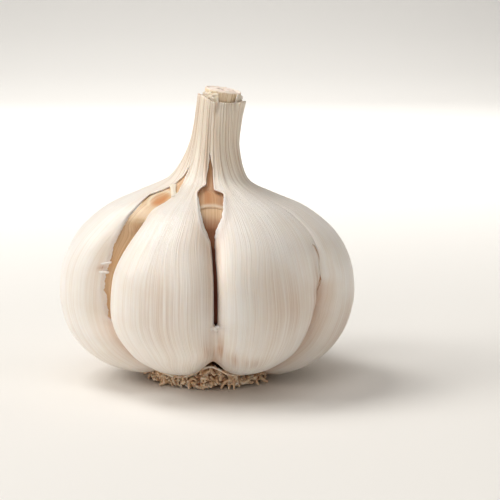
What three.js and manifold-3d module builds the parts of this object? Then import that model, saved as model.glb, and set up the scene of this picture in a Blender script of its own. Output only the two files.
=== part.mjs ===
// A whole garlic bulb, standing on its roots: six cloves round a central stalk on a root plate, inside a
// papery tunic that is torn open in two places and gathers upwards into a ribbed, cut neck.
// Millimetres, +Z up. The origin is on the surface that the bulb stands on, under the middle of its box.
import * as THREE from "three";
import Module from "manifold-3d";

const wasm = await Module();
wasm.setup();

// ---------------------------------------------------------------- driving dimensions
const bulbReach = 30; // from the bulb's own axis to the outermost point of a middling lobe
const neckEdge = 9; // radius at which the neck has become round and the lobes have died out
const tunicThickness = 0.8;
const axisPlace = { x: 0.4, y: 0.46 }; // the bulb's own axis, seen from the middle of its box

// The tunic's outline through the middle of a lobe: distance from the axis, height.
const tunicOutline = new THREE.SplineCurve(
  [
    [10.6, 3.6],
    [13.2, 2.3],
    [16.2, 2.1],
    [19.2, 2.9],
    [22.3, 4.3],
    [25.6, 7],
    [28.2, 10.8],
    [29.6, 15],
    [30, 19.6],
    [28.9, 26],
    [25.5, 32.2],
    [20.3, 36.9],
    [14, 39.9],
    [9.2, 42.3],
    [6.7, 45.5],
    [5.35, 49.8],
    [5.05, 55],
    [5.2, 59.3],
  ].map(([radius, height]) => new THREE.Vector2(radius, height)),
);

// The creases between the lobes. Bearings are degrees from the front towards +X. A crease swings by
// `foot` degrees near the ground and by `head` degrees at the shoulder. It is `depth` deep at first and
// `high` deep at the shoulder, and changes between the two heights of `fade`. A higher squareness
// presses its two lobes flatter against each other.
const creases = [
  { bearing: -120, foot: 0, head: 0, depth: 10, high: 10, fade: [22, 33], squareness: 2.2 },
  { bearing: -53, foot: 4.5, head: 7.5, depth: 12, high: 12, fade: [22, 33], squareness: 2.5 },
  { bearing: 3.4, foot: 0, head: -1, depth: 7, high: 9, fade: [22, 33], squareness: 3.2 },
  { bearing: 54, foot: -12, head: 3, depth: 8.5, high: 0.8, fade: [13, 30], squareness: 2.4 },
  { bearing: 126, foot: 0, head: 0, depth: 11, high: 10, fade: [22, 33], squareness: 2.3 },
  { bearing: 184, foot: 0, head: 0, depth: 12, high: 11, fade: [22, 33], squareness: 2.4 },
];

// Each lobe runs from the crease of the same place in the list to the next one. `reach` is its own
// outermost distance from the axis, and `lift` raises its lower end.
const lobes = [
  { name: "left", reach: 31.6, lift: 0.5 },
  { name: "front_left", reach: 30, lift: 1.9 },
  { name: "front_right", reach: 30, lift: 1.8 },
  { name: "right", reach: 31, lift: -0.6 },
  { name: "back_right", reach: 29.6, lift: 0.3 },
  { name: "back_left", reach: 29.4, lift: 0.3 },
];
const creaseLift = 3; // at a crease the tunic's lower rim stands higher
const liftEnd = 13; // the height at which every lift has died out

// The tears in the tunic, each along a crease: height, then the degrees it opens to each side.
const frontTear = {
  crease: creases[2],
  levels: [
    [16.4, 0.8, 0.8],
    [25, 0.8, 0.8],
    [29, 1.4, 1.3],
    [33, 3.8, 3.8],
    [37, 7.6, 8],
    [39.5, 10, 11],
    [42.5, 6.5, 6.5],
    [49, 1, 1],
  ],
};
const leftTear = {
  crease: creases[1],
  levels: [
    [12, 1, 0.3],
    [16, 2.6, 0.5],
    [25, 4.6, 1],
    [31, 7.6, 1],
    [36, 9.6, 1],
    [39, 9, 1.5],
    [42.5, 5, 2],
    [46, 1.5, 1],
  ],
};

const neckLean = { from: 40.5, to: 60, shift: 3, power: 1.1 }; // above the shoulder it leans towards +X
const neckTwist = { from: 38, to: 60, degrees: -24 }; // and turns a little about its own axis
const ribHeight = 0.2; // of the long ribs on the neck
const neckRim = { side: 0.85, front: 0.5, ragged: 0.3, from: 55, to: 59 }; // it falls to the right and front

const columnsPerLobe = 10; // even, so that ribs and furrows alternate right round the neck
const tunicRows = 32;

const clove = {
  foot: 4.8,
  footShare: 0.17,
  tipShare: 0.73,
  rows: 13,
  clearance: 0.75, // from the tunic to the clove's back
  cheekGap: 3.2, // degrees from a crease to the inner end of a cheek
};
const stalk = {
  foot: 4.4,
  radius: 3.65,
  top: 61.15,
  topRadius: 3.85,
  cutSlope: { x: -0.165, y: 0.08 },
  pit: { radius: 1.1, depth: 1.1 },
};
const sheath = { foot: 9, bore: 4.2, lip: 37.4, top: 46 };
const rootPlate = { footRadius: 7, radius: 9.5, top: 3.9 };
const roots = { count: 50, radius: 0.5, spread: 14.2, seed: 7 };

// ---------------------------------------------------------------- shared helpers
const degree = Math.PI / 180;
const { lerp, smoothstep, clamp } = THREE.MathUtils;

// A point at a bearing from the front, a distance from the axis and a height.
function atBearing(bearing, radius, height) {
  const angle = bearing * degree;
  return new THREE.Vector3(radius * Math.sin(angle), -radius * Math.cos(angle), height);
}

function twistAt(height) {
  return neckTwist.degrees * smoothstep(height, neckTwist.from, neckTwist.to);
}

function creaseBearing({ bearing, foot, head }, height) {
  return bearing + foot * (1 - smoothstep(height, 2, 19)) + head * smoothstep(height, 22, 38);
}

// A level loop of points round the axis. Its height may differ from point to point.
function roundLoop(radius, heightAt, sides) {
  return Array.from({ length: sides }, (_, side) => {
    const point = atBearing((side * 360) / sides, radius, 0);
    point.z = heightAt(point);
    return point;
  });
}

// A solid lofted through loops of equally many points. A ring joins its last loop to its first one;
// any other is closed by a fan at each end. Loops run anticlockwise seen from the last loop.
function loft(loops, isRing = false) {
  const sides = loops[0].length;
  const points = loops.flat();
  const faces = [];
  const spans = isRing ? loops.length : loops.length - 1;
  for (let row = 0; row < spans; row++) {
    const low = row * sides;
    const high = ((row + 1) % loops.length) * sides;
    for (let side = 0; side < sides; side++) {
      const next = (side + 1) % sides;
      faces.push(low + side, low + next, high + next, low + side, high + next, high + side);
    }
  }
  if (!isRing) {
    closeEnd(points, faces, 0, sides, false);
    closeEnd(points, faces, (loops.length - 1) * sides, sides, true);
  }
  return new wasm.Manifold(
    new wasm.Mesh({
      numProp: 3,
      vertProperties: new Float32Array(points.flatMap((point) => point.toArray())),
      triVerts: new Uint32Array(faces),
    }),
  );
}

// A fan of triangles from the middle of the loop that starts at point `first`.
function closeEnd(points, faces, first, sides, isTop) {
  const middle = new THREE.Vector3();
  points.slice(first, first + sides).forEach((point) => middle.addScaledVector(point, 1 / sides));
  const centre = points.push(middle) - 1;
  for (let side = 0; side < sides; side++) {
    const here = first + side;
    const next = first + ((side + 1) % sides);
    faces.push(...(isTop ? [here, next, centre] : [next, here, centre]));
  }
}

// The largest body of a solid: loose scraps are dropped, and hollows that a join sealed are filled.
function mainBody(solid) {
  return solid.decompose().sort((a, b) => b.volume() - a.volume())[0];
}

// Every piece is shaped about a straight axis, and leans with the neck when it becomes a mesh.
function pieceFrom(name, solid, material) {
  const { numProp, vertProperties, triVerts } = solid.getMesh();
  const { from, to, shift, power } = neckLean;
  const positions = [];
  for (let i = 0; i < vertProperties.length; i += numProp) {
    const [x, y, z] = vertProperties.subarray(i, i + 3);
    const lean = shift * Math.max(0, (z - from) / (to - from)) ** power;
    positions.push(x + lean, y, z);
  }
  const geometry = new THREE.BufferGeometry();
  geometry.setAttribute("position", new THREE.Float32BufferAttribute(positions, 3));
  geometry.setIndex(new THREE.Uint32BufferAttribute(triVerts, 1));
  geometry.computeVertexNormals();
  const piece = new THREE.Mesh(geometry, material);
  piece.name = name;
  return piece;
}

// ---------------------------------------------------------------- the tunic
// The bearing of a share of the way across a lobe, how far it rises out of the creases there, and the
// rounder arch that its lower end follows.
function acrossLobe(index, share, height) {
  const [first, second] = [index, index + 1].map((i) => creases[(i + creases.length) % creases.length]);
  const crease = share < 0.5 ? first : second;
  const power = 2 / crease.squareness;
  const swing = Math.PI * (share - 0.5);
  const rounded = Math.sign(swing) * Math.abs(Math.sin(swing)) ** power;
  const across = lerp(rounded, 2 * share - 1, smoothstep(height, 37, 46));
  const start = creaseBearing(first, height);
  const sweep = (creaseBearing(second, height) - start + 360) % 360;
  return {
    crease,
    bearing: start + sweep * (0.5 + across / 2) + twistAt(height),
    rise: Math.abs(Math.cos(swing)) ** power,
    arch: Math.abs(Math.cos(swing)),
  };
}

// `around` counts lobes and their shares, `along` runs from the lower rim to the neck's rim.
function tunicSurface(around, along) {
  const index = Math.floor(around);
  const share = around - index;
  const lobe = lobes[(index + lobes.length) % lobes.length];
  const { x: radius, y: height } = tunicOutline.getPointAt(along);
  const { crease, bearing, rise, arch } = acrossLobe(index, share, height);

  const fullness = Math.sqrt(clamp((radius - neckEdge) / (bulbReach - neckEdge), 0, 1));
  const crest = radius + (lobe.reach - bulbReach) * fullness;
  const depth = lerp(crease.depth, crease.high, smoothstep(height, ...crease.fade));
  const valley = radius - depth * smoothstep(radius, neckEdge, bulbReach - 4);
  const rib = ribHeight * Math.cos(Math.PI * columnsPerLobe * share) * smoothstep(height, 40, 47);

  const lift = lerp(creaseLift, lobe.lift, arch) * Math.max(0, 1 - height / liftEnd);
  const cut = neckRim.ragged * Math.cos(7 * bearing * degree)
    - neckRim.side * Math.sin(bearing * degree)
    - neckRim.front * Math.cos(bearing * degree);
  const top = cut * smoothstep(height, neckRim.from, neckRim.to);
  return atBearing(bearing, lerp(valley, crest, rise) + rib, height + lift + top);
}

// The same place, moved inwards along the smooth surface's normal.
function tunicPoint(around, along, inset) {
  const sideStep = 1 / columnsPerLobe;
  const upStep = 0.6 / tunicRows;
  const sideways = tunicSurface(around + sideStep, along).sub(tunicSurface(around - sideStep, along));
  const upwards = tunicSurface(around, Math.min(along + upStep, 1))
    .sub(tunicSurface(around, Math.max(along - upStep, 0)));
  return tunicSurface(around, along).addScaledVector(sideways.cross(upwards).normalize(), -inset);
}

function tunicLoop(along, inset) {
  return Array.from({ length: lobes.length * columnsPerLobe }, (_, column) =>
    tunicPoint(column / columnsPerLobe, along, inset),
  );
}

// A wedge through one side of the tunic, as wide at each height as the tear is there.
function tearCutter({ crease, levels }) {
  const near = 2;
  const far = bulbReach * 1.5;
  return loft(levels.map(([height, before, after]) => {
    const middle = creaseBearing(crease, height) + twistAt(height);
    return [
      atBearing(middle - before, near, height),
      atBearing(middle - before, far, height),
      atBearing(middle + after, far, height),
      atBearing(middle + after, near, height),
    ];
  }));
}

function makeTunic() {
  const shares = Array.from({ length: tunicRows + 1 }, (_, row) => row / tunicRows);
  const outside = shares.map((along) => tunicLoop(along, 0));
  const inside = shares.map((along) => tunicLoop(along, tunicThickness)).reverse();
  const whole = loft([...outside, ...inside], true);
  return mainBody(whole.subtract(tearCutter(frontTear)).subtract(tearCutter(leftTear)));
}

// ---------------------------------------------------------------- the cloves
// A clove fills its lobe: round-backed under the tunic, with two flat cheeks that run in to a blunt
// inner edge beside the stalk, and a tip that narrows towards the neck.
function makeClove(index) {
  const edge = 0.07;
  const loops = [];
  for (let row = 0; row <= clove.rows; row++) {
    const along = lerp(clove.footShare, clove.tipShare, row / clove.rows);
    const height = Math.max(tunicOutline.getPointAt(along).y, clove.foot);
    const margin = lerp(edge, 0.33, smoothstep(height, 30, 40));
    const back = [];
    for (let column = 0; column <= columnsPerLobe; column++) {
      const share = lerp(margin, 1 - margin, column / columnsPerLobe);
      const point = tunicPoint(index + share, along, tunicThickness + clove.clearance);
      point.z = Math.max(point.z, clove.foot);
      back.push(point);
    }
    const [start, end] = [index, index + 1].map((i) => creaseBearing(creases[i % creases.length], height));
    const sweep = (end - start + 360) % 360;
    const gap = clove.cheekGap + 0.8 * sweep * (margin - edge);
    const innerRadius = lerp(8.9, 9.5, smoothstep(height, 30, 36));
    const inner = [1, 0.5, 0].map((share) => {
      const bearing = start + lerp(gap, sweep - gap, share) + twistAt(height);
      return atBearing(bearing, innerRadius, back[share * columnsPerLobe].z);
    });
    loops.push([...back, ...inner]);
  }
  return loft(loops);
}

// ---------------------------------------------------------------- the stalk and its inner sheath
// A straight stalk with an oblique cut, and a small pit in the middle of the cut.
function makeStalk() {
  const { foot, radius, top, topRadius, cutSlope, pit } = stalk;
  const sides = 16;
  const cut = (point) => top + cutSlope.x * point.x + cutSlope.y * point.y;
  return loft([
    ...[foot, 20, 40.5, 43, 46, 50, 55].map((height) => roundLoop(radius, () => height, sides)),
    roundLoop(topRadius, cut, sides),
    roundLoop(pit.radius, cut, sides),
    roundLoop(pit.radius * 0.6, (point) => cut(point) - pit.depth, sides),
  ]);
}

// The dry inner skins, gathered round the stalk in one sleeve. Its outside has a lip, and a hollow
// under the lip.
function makeSheath() {
  const { foot, bore, lip, top } = sheath;
  const outline = [
    [5.2, foot],
    [6.3, 24],
    [7.2, 32],
    [7.5, lip - 0.4],
    [8.2, lip - 0.3],
    [8.25, lip + 0.4],
    [8, 40],
    [7.2, 42],
    [5.7, 44.2],
    [5, top],
    [bore, top],
    [bore, 43],
    [bore, 40.5],
    [bore, foot],
  ];
  return loft(outline.map(([radius, height]) => roundLoop(radius, () => height, 24)), true);
}

// ---------------------------------------------------------------- the root plate with its roots
// Repeatable pseudo-random numbers from 0 to 1.
function randomFrom(seed) {
  let state = seed;
  return () => {
    state = (state * 16807) % 2147483647;
    return state / 2147483647;
  };
}

// A root leaves the plate's edge, runs outwards under the lobes and curls down to the ground.
function makeRoot(bearing, isUpper, random) {
  const length = roots.spread * (0.86 + 0.14 * random());
  const curl = 44 * (random() - 0.5);
  const rise = isUpper ? 1.75 + 0.25 * random() : 0.75 + 0.2 * random();
  const path = new THREE.CatmullRomCurve3([
    atBearing(bearing, rootPlate.radius - 1.2, rise),
    atBearing(bearing + 0.15 * curl, lerp(rootPlate.radius, length, 0.3), 0.95 * rise),
    atBearing(bearing + 0.5 * curl, lerp(rootPlate.radius, length, 0.7), 0.6 * rise),
    atBearing(bearing + curl, length, 0.4 * random()),
  ]);
  const steps = 4;
  const sides = 5;
  const frames = path.computeFrenetFrames(steps);
  return loft(Array.from({ length: steps + 1 }, (_, step) => {
    const radius = roots.radius * lerp(1.05, 0.75, step / steps);
    return Array.from({ length: sides }, (_, side) => {
      const angle = (side * 2 * Math.PI) / sides;
      return path
        .getPointAt(step / steps)
        .addScaledVector(frames.normals[step], radius * Math.cos(angle))
        .addScaledVector(frames.binormals[step], radius * Math.sin(angle));
    });
  }));
}

function makeRootPlate() {
  const { footRadius, radius, top } = rootPlate;
  const outline = [
    [footRadius, 0],
    [radius - 0.5, 1],
    [radius, 2.4],
    [radius - 0.8, top],
  ];
  let plate = loft(outline.map(([r, height]) => roundLoop(r, () => height, 28)));
  const random = randomFrom(roots.seed);
  for (let i = 0; i < roots.count; i++) {
    const bearing = (i * 360) / roots.count + 3 * random();
    plate = plate.add(makeRoot(bearing, i % 2 > 0, random));
  }
  return mainBody(plate.trimByPlane([0, 0, 1], 0));
}

// ---------------------------------------------------------------- the bulb
const paperySkin = new THREE.MeshStandardMaterial({ color: "#eee4d6", roughness: 0.6, metalness: 0 });
const cloveSkin = new THREE.MeshStandardMaterial({ color: "#d8b48c", roughness: 0.55, metalness: 0 });
const innerSkin = new THREE.MeshStandardMaterial({ color: "#b98a62", roughness: 0.7, metalness: 0 });
const cutStalk = new THREE.MeshStandardMaterial({ color: "#e8ddc8", roughness: 0.75, metalness: 0 });
const dryRoot = new THREE.MeshStandardMaterial({ color: "#a57f55", roughness: 0.85, metalness: 0 });

const bulb = new THREE.Group();
bulb.name = "garlic_bulb";
bulb.add(pieceFrom("tunic", makeTunic(), paperySkin));
lobes.forEach(({ name }, index) => bulb.add(pieceFrom(`clove_${name}`, makeClove(index), cloveSkin)));
bulb.add(pieceFrom("stalk", makeStalk(), cutStalk));
bulb.add(pieceFrom("inner_sheath", makeSheath(), innerSkin));
bulb.add(pieceFrom("root_plate", makeRootPlate(), dryRoot));
bulb.position.set(axisPlace.x, axisPlace.y, 0);

export default bulb;
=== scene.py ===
import bpy
import math
import random
from bisect import bisect_right
from mathutils import Matrix, Vector, noise


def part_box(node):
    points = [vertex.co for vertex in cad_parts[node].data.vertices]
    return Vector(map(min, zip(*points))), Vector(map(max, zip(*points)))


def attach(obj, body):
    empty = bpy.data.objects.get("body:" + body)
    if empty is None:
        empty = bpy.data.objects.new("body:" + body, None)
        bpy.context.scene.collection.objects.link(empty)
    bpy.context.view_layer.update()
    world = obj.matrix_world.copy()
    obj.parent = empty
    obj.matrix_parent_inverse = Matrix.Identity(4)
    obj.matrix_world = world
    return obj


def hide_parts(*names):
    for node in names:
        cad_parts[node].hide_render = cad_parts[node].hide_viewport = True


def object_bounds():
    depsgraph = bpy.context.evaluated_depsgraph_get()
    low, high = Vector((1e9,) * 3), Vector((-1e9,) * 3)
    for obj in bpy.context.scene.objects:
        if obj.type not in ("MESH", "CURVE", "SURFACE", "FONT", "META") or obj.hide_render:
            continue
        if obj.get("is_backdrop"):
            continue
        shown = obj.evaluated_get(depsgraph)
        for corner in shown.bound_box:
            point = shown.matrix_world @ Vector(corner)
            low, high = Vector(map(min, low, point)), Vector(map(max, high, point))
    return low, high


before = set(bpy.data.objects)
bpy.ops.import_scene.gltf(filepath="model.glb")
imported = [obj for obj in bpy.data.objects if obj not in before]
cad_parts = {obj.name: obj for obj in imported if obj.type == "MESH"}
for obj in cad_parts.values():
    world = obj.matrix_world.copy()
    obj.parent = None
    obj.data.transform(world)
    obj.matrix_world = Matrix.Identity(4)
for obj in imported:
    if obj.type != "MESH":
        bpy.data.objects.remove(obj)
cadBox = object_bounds()
print("frame loaded with", len(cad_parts), "nodes")

mm = 0.001
sheathLow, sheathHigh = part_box("inner_sheath")
bulbAxis = Vector(((sheathLow.x + sheathHigh.x) / 2, (sheathLow.y + sheathHigh.y) / 2, 0))

# millimetres and degrees from here on, bearings are counted from the front towards +X


def smoothStep(value, low, high):
    share = min(max((value - low) / (high - low), 0), 1)
    return share * share * (3 - 2 * share)


def mix(first, second, share):
    return first + (second - first) * share


def readAt(points, value, eased=True):  # a value read off a list of (position, value) pairs
    if value <= points[0][0]:
        return points[0][1]
    for (low, first), (high, second) in zip(points, points[1:]):
        if value <= high:
            share = (value - low) / (high - low)
            return mix(first, second, smoothStep(share, 0, 1) if eased else share)
    return points[-1][1]


def readLine(points, value):  # the same with straight lines between the points
    return readAt(points, value, eased=False)


def wobble(x, y, seed):  # smooth noise from -1 to 1
    return noise.noise(Vector((x, y, seed * 7.31)))


def wobbleRound(turn, size, seed):  # the same round a ring, without a seam
    return wobble(math.sin(turn) * size, math.cos(turn) * size, seed)


def atBearing(bearing, radius, height):
    angle = math.radians(bearing)
    return Vector((radius * math.sin(angle), -radius * math.cos(angle), height))


def leanIn(point):  # the neck's lean, then metres in the part's frame
    risen = max(0, (point.z - neck["leanFrom"]) / (neck["leanTo"] - neck["leanFrom"]))
    lean = neck["leanShift"] * risen ** 1.1
    return bulbAxis + Vector((point.x + lean, point.y, point.z)) * mm


def clearSelection():
    if bpy.context.object and bpy.context.object.mode != "OBJECT":
        bpy.ops.object.mode_set(mode="OBJECT")
    bpy.ops.object.select_all(action="DESELECT")


def makeActive(piece):
    clearSelection()
    piece.select_set(True)
    bpy.context.view_layer.objects.active = piece


def applyModifiers(piece):
    makeActive(piece)
    for modifier in list(piece.modifiers):
        bpy.ops.object.modifier_apply(modifier=modifier.name)


def joinPieces(pieces, name):
    clearSelection()
    for piece in pieces:
        piece.select_set(True)
    bpy.context.view_layer.objects.active = pieces[0]
    bpy.ops.object.join()
    joined = bpy.context.object
    joined.name = name
    joined.data.name = name
    return joined


def editAll(piece, *steps):  # runs steps in edit mode with all of the piece selected
    makeActive(piece)
    bpy.ops.object.mode_set(mode="EDIT")
    bpy.ops.mesh.select_mode(type="VERT")
    bpy.ops.mesh.select_all(action="SELECT")
    for step in steps:
        step()
    bpy.ops.object.mode_set(mode="OBJECT")


def recalculateNormals():
    bpy.ops.mesh.select_all(action="SELECT")
    bpy.ops.mesh.normals_make_consistent(inside=False)


def selectBorder():
    bpy.ops.mesh.select_all(action="DESELECT")
    bpy.ops.mesh.select_non_manifold()


def weld(piece, distance=0.004, border=False):  # with border, points inside the sheet are never joined
    def joinDoubles():
        if border:
            selectBorder()
        bpy.ops.mesh.remove_doubles(threshold=distance * mm)

    editAll(piece, joinDoubles, recalculateNormals)


def faceOut(piece):  # a sheet or a clove can come out of the recalculation inside out
    facing = sum(polygon.area * polygon.normal.dot((polygon.center - bulbAxis) * Vector((1, 1, 0)))
                 for polygon in piece.data.polygons)
    if facing < 0:
        editAll(piece, bpy.ops.mesh.flip_normals)


def closeHoles(piece):
    editAll(piece, lambda: bpy.ops.mesh.fill_holes(sides=0), recalculateNormals)


def thicken(piece, thickness):  # a sheet grows a wall inwards
    solid = piece.modifiers.new("thickness", "SOLIDIFY")
    solid.thickness = thickness * mm
    solid.offset = -1
    applyModifiers(piece)
    shadeSmooth(piece)


def shadeSmooth(piece):
    makeActive(piece)
    bpy.ops.object.shade_smooth()


def finishPiece(piece, material, slot, *nodes):
    piece.data.materials.clear()
    piece.data.materials.append(material)
    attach(piece, "root")
    if nodes:
        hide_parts(*nodes)


# a grid whose points are put in place by shapeAt(u, v), which also gives their place on the UV map and the
# values of the marks, kept as attributes
def wrapGrid(name, columns, rows, shapeAt, marks=()):
    clearSelection()
    bpy.ops.mesh.primitive_grid_add(x_subdivisions=columns, y_subdivisions=rows, size=1)
    piece = bpy.context.object
    piece.name = name
    mesh = piece.data
    uvOf = []
    marked = {mark: [] for mark in marks}
    for vertex in mesh.vertices:
        u, v = vertex.co.x + 0.5, vertex.co.y + 0.5
        place, uv, values = shapeAt(u, v)
        vertex.co = leanIn(place)
        uvOf.append(uv)
        for mark in marks:
            marked[mark].append(values[mark])
    for mark in marks:
        mesh.attributes.new(mark, "FLOAT", "POINT").data.foreach_set("value", marked[mark])
    uvLayer = mesh.uv_layers[0] if mesh.uv_layers else mesh.uv_layers.new(name="UVMap")
    for loop in mesh.loops:
        uvLayer.data[loop.index].uv = uvOf[loop.vertex_index]
    return piece


# the papery skin
skin = {
    "outline": [
        (10.6, 3.6), (13.2, 2.3), (16.2, 2.1), (19.2, 2.9), (22.3, 4.3), (25.6, 7), (28.2, 10.8),
        (29.6, 15),
        (30, 19.6), (28.9, 26), (25.5, 32.2), (20.3, 36.9), (14, 39.9), (9.2, 42.3), (6.7, 45.5),
        (5.35, 49.8),
        (5.05, 55), (5.2, 59.3),
    ],
    "reach": 30,
    "neckEdge": 9,
    "creaseLift": 2.5,
    "liftEnd": 13,
    "notchWidth": 9.7,  # degrees over which the lift at a crease dies away
    "lobeWidth": 32,
    "thickness": 0.3,
    "rows": 160,
    "undulation": 0.22,
    "sag": 0.75, "sagFrom": (35, 70), "sagTo": (130, 165),  # bearings of the low right shoulder
}
# each crease also gives the strength of the painted shade laid on its walls
creases = [  # bearings and depths by height
    {
        "bearings": [(0, -120)],
        "depths": [(0, 10)], "squareness": [(2, 2.1), (10, 2.2)],
        "creaseShadeStrength": 0.5,
    },
    {
        "bearings": [(2, -39.5), (8, -45.5), (17, -53), (24, -53), (38, -45.5)],
        "depths": [(9, 9), (17, 12)],
        "squareness": [(2, 2.1), (10, 2.5)],
        "creaseShadeStrength": 0.4,
    },
    {
        "bearings": [(22, 3.4), (38, 2.4)],
        "depths": [(4, 5), (15, 6.5), (22, 7), (33, 9)],
        "bridge": [(2, 0.4), (5, 0.5), (9, 0.6), (16.2, 0.7), (16.35, 0)],  # a web in the crease
        "squareness": [(2, 2.1), (10, 4.2), (24, 4.2), (33, 3.2)],
        "lift": 5.35,
        "creaseShadeStrength": 0.9,
    },
    {
        "bearings": [(2, 46), (9, 53), (19, 55.5), (25, 55), (38, 58)],
        "depths": [(12, 9), (17, 7.5), (21, 5), (25, 2.2), (30, 0.6), (34, 0.2)],
        "squareness": [(2, 2.1), (10, 2.4)],
        "creaseShadeStrength": 0.6,
    },
    {
        "bearings": [(0, 126)],
        "depths": [(22, 11), (33, 10)], "squareness": [(2, 2.1), (10, 2.3)],
        "creaseShadeStrength": 0.5,
    },
    {
        "bearings": [(0, 184)],
        "depths": [(22, 12), (33, 11)], "squareness": [(2, 2.1), (10, 2.4)],
        "creaseShadeStrength": 0.5,
    },
]
lobes = [  # reach, lift of the lower end, columns of the grid
    {"name": "left", "reach": 31.55, "lift": 0.5, "columns": 54},
    {"name": "frontLeft", "reach": 30, "lift": 1.9, "columns": 60},
    {"name": "frontRight", "reach": 30, "lift": 1.8, "columns": 60},
    {"name": "right", "reach": 31, "lift": -0.6, "columns": 38},
    {"name": "backRight", "reach": 29.6, "lift": 0.3, "columns": 29},
    {"name": "backLeft", "reach": 29.4, "lift": 0.3, "columns": 29},
]
neck = {
    "leanFrom": 40.5, "leanTo": 60, "leanShift": 3,
    "twistFrom": 38, "twistTo": 60, "twist": -24,
    "ribCount": 8, "ribs": 0.06, "folds": 0.22,
    "rim": [(-180, 59.5), (-120, 59.9), (-90, 60.3), (-62, 60.1), (-42, 59.7), (-26, 59.1), (-12, 58.6),
            (46, 58.5),
            (62, 58.75), (80, 58.8), (100, 58.4), (140, 58.5),
            (180, 59.5)],  # heights of the cut rim by bearing
    "rimRagged": 0.07,
    "panel": (-14, 47), "panelIn": 0.75,  # bearings where the front of the rim leans in on the stalk
}
# how far each tear has opened, as a share of the lobe before and of the lobe after its crease, by
# height; a share below zero takes that edge past the crease
tears = {
    2: {
        "before": [(16.1, 0), (17.1, 0.124), (21.7, 0.126), (26.3, 0.116), (29, 0.108), (31, 0.114),
                   (32.2, 0.156),
                   (33.6, 0.205), (34.7, 0.252), (35.9, 0.288), (37.2, 0.315), (39, 0.352), (40, 0.375),
                   (40.9, 0.397), (41.6, 0.353), (41.95, 0.276), (42.3, 0.107), (43.2, 0.097), (45, 0.012),
                   (46.9, -0.003), (48.5, 0)],
        "after": [(16.1, 0), (17.1, 0.09), (21.5, 0.096), (26.2, 0.1), (28.9, 0.09), (31.3, 0.104),
                  (33, 0.138),
                  (35.2, 0.207), (36, 0.243), (37, 0.275), (38.3, 0.305), (39.7, 0.344), (40.3, 0.362),
                  (40.9, 0.371),
                  (41.1, 0.3), (41.4, 0.184), (41.7, 0.169), (43, 0.158), (45, 0.127), (46.9, 0.03),
                  (48.5, 0)],
    },
    1: {
        "before": [(13.6, 0), (14.8, 0.124), (15.8, 0.146), (18.1, 0.149), (21.1, 0.165), (23.9, 0.168),
                   (26.6, 0.166), (28.2, 0.178), (30.4, 0.195), (32.5, 0.213), (34.2, 0.227),
                   (36.4, 0.244), (38.6, 0.262),
                   (39.9, 0.283), (40.6, 0.205), (41.3, 0.12), (42.1, 0.029), (43.15, -0.05),
                   (44.3, -0.135),
                   (46.8, -0.256), (49, 0)],
        "after": [(30, 0), (32, 0.05), (35, 0.2), (37.1, 0.254), (38.4, 0.311), (39, 0.343), (39.6, 0.368),
                  (40.2, 0.39), (40.8, 0.405), (42.1, 0.308), (43.8, 0.227), (44.6, 0.225),
                  (46.8, 0.258), (49, 0)],
    },
}
# soft stains and painted shade: place round the bulb in lobes, height, half width in lobes, half height,
# strength
stainsAndShades = [
    # 2.86 and 2.85: painted shade in the front-right crease; 1.84 at height 10.5: a stain
    (2.86, 19, 0.06, 8, 0.5), (2.85, 12, 0.06, 4, 0.35), (1.84, 10.5, 0.04, 4.2, 0.55),
    # painted shadow between the two small folds
    (0.84, 25.8, 0.022, 0.5, 1.2),
    # stains
    (1.9, 8.6, 0.03, 2, 0.3), (2.15, 10.4, 0.042, 4.2, 0.7), (2.27, 8, 0.05, 2.8, 0.5),
    (2.4, 7.5, 0.07, 1.6, 0.3),
    # painted shade where the front-left lobe turns in
    (1.78, 34, 0.1, 5, 0.2), (1.84, 22, 0.06, 7, 0.22),
    # 1.12 and 0.9: painted shade low in the left crease; 2.55 and 1.62: painted shade across the front lobes
    (1.12, 8, 0.05, 3.5, 0.35), (0.9, 9, 0.05, 4, 0.3), (2.55, 20, 0.2, 8, 0.3), (1.62, 20, 0.14, 8, 0.28),
    # the rest are stains
    (3.3, 13, 0.12, 6, 0.4), (3.55, 9, 0.09, 3, 0.25), (3.9, 24, 0.05, 8, 0.3), (4.4, 30, 0.06, 3, 0.2),
    (5.1, 14, 0.05, 6, 0.3), (5.6, 8, 0.1, 2.5, 0.25), (0.15, 20, 0.05, 7, 0.25),
]


def makeOutline(points):  # a smooth curve through the points, read by its share of length
    def cubic(a, b, c, d, t):
        squared, cubed = 2 * a - 5 * b + 4 * c - d, 3 * b - a - 3 * c + d
        return 0.5 * (2 * b + (c - a) * t + squared * t * t + cubed * t ** 3)

    last = len(points) - 1
    fine = []
    for span in range(last):
        four = [points[min(max(span + k, 0), last)] for k in (-1, 0, 1, 2)]
        for step in range(60):
            fine.append(tuple(cubic(*[p[axis] for p in four], step / 60) for axis in (0, 1)))
    fine.append(points[-1])
    lengths = [0]
    for here, after in zip(fine, fine[1:]):
        lengths.append(lengths[-1] + math.dist(here, after))

    def read(share):
        target = min(max(share, 0), 1) * lengths[-1]
        index = min(bisect_right(lengths, target), len(fine) - 1)
        step = (target - lengths[index - 1]) / (lengths[index] - lengths[index - 1])
        return tuple(mix(fine[index - 1][axis], fine[index][axis], step) for axis in (0, 1))

    return read


skinOutline = makeOutline(skin["outline"])
heightSteps = 900
outlineHeights = []
for step in range(heightSteps + 1):
    share = 0.07 + 0.93 * step / heightSteps  # before this share the outline still falls
    outlineHeights.append((skinOutline(share)[1], share))


def alongAt(height):  # the share of the outline's length at which it reaches a height
    place = min(max(bisect_right(outlineHeights, (height, 2)), 1), heightSteps)
    (low, first), (high, second) = outlineHeights[place - 1], outlineHeights[place]
    return mix(first, second, min(max((height - low) / max(high - low, 1e-9), 0), 1))


def lobeArc(first, second, share, height=20):  # the rounded place across a lobe, and its rise there
    crease = first if share < 0.5 else second
    swing = math.pi * (share - 0.5)
    power = 2 / readAt(crease["squareness"], height)
    across = math.copysign(abs(math.sin(swing)) ** power, swing)
    return across, abs(math.cos(swing)) ** power


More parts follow.
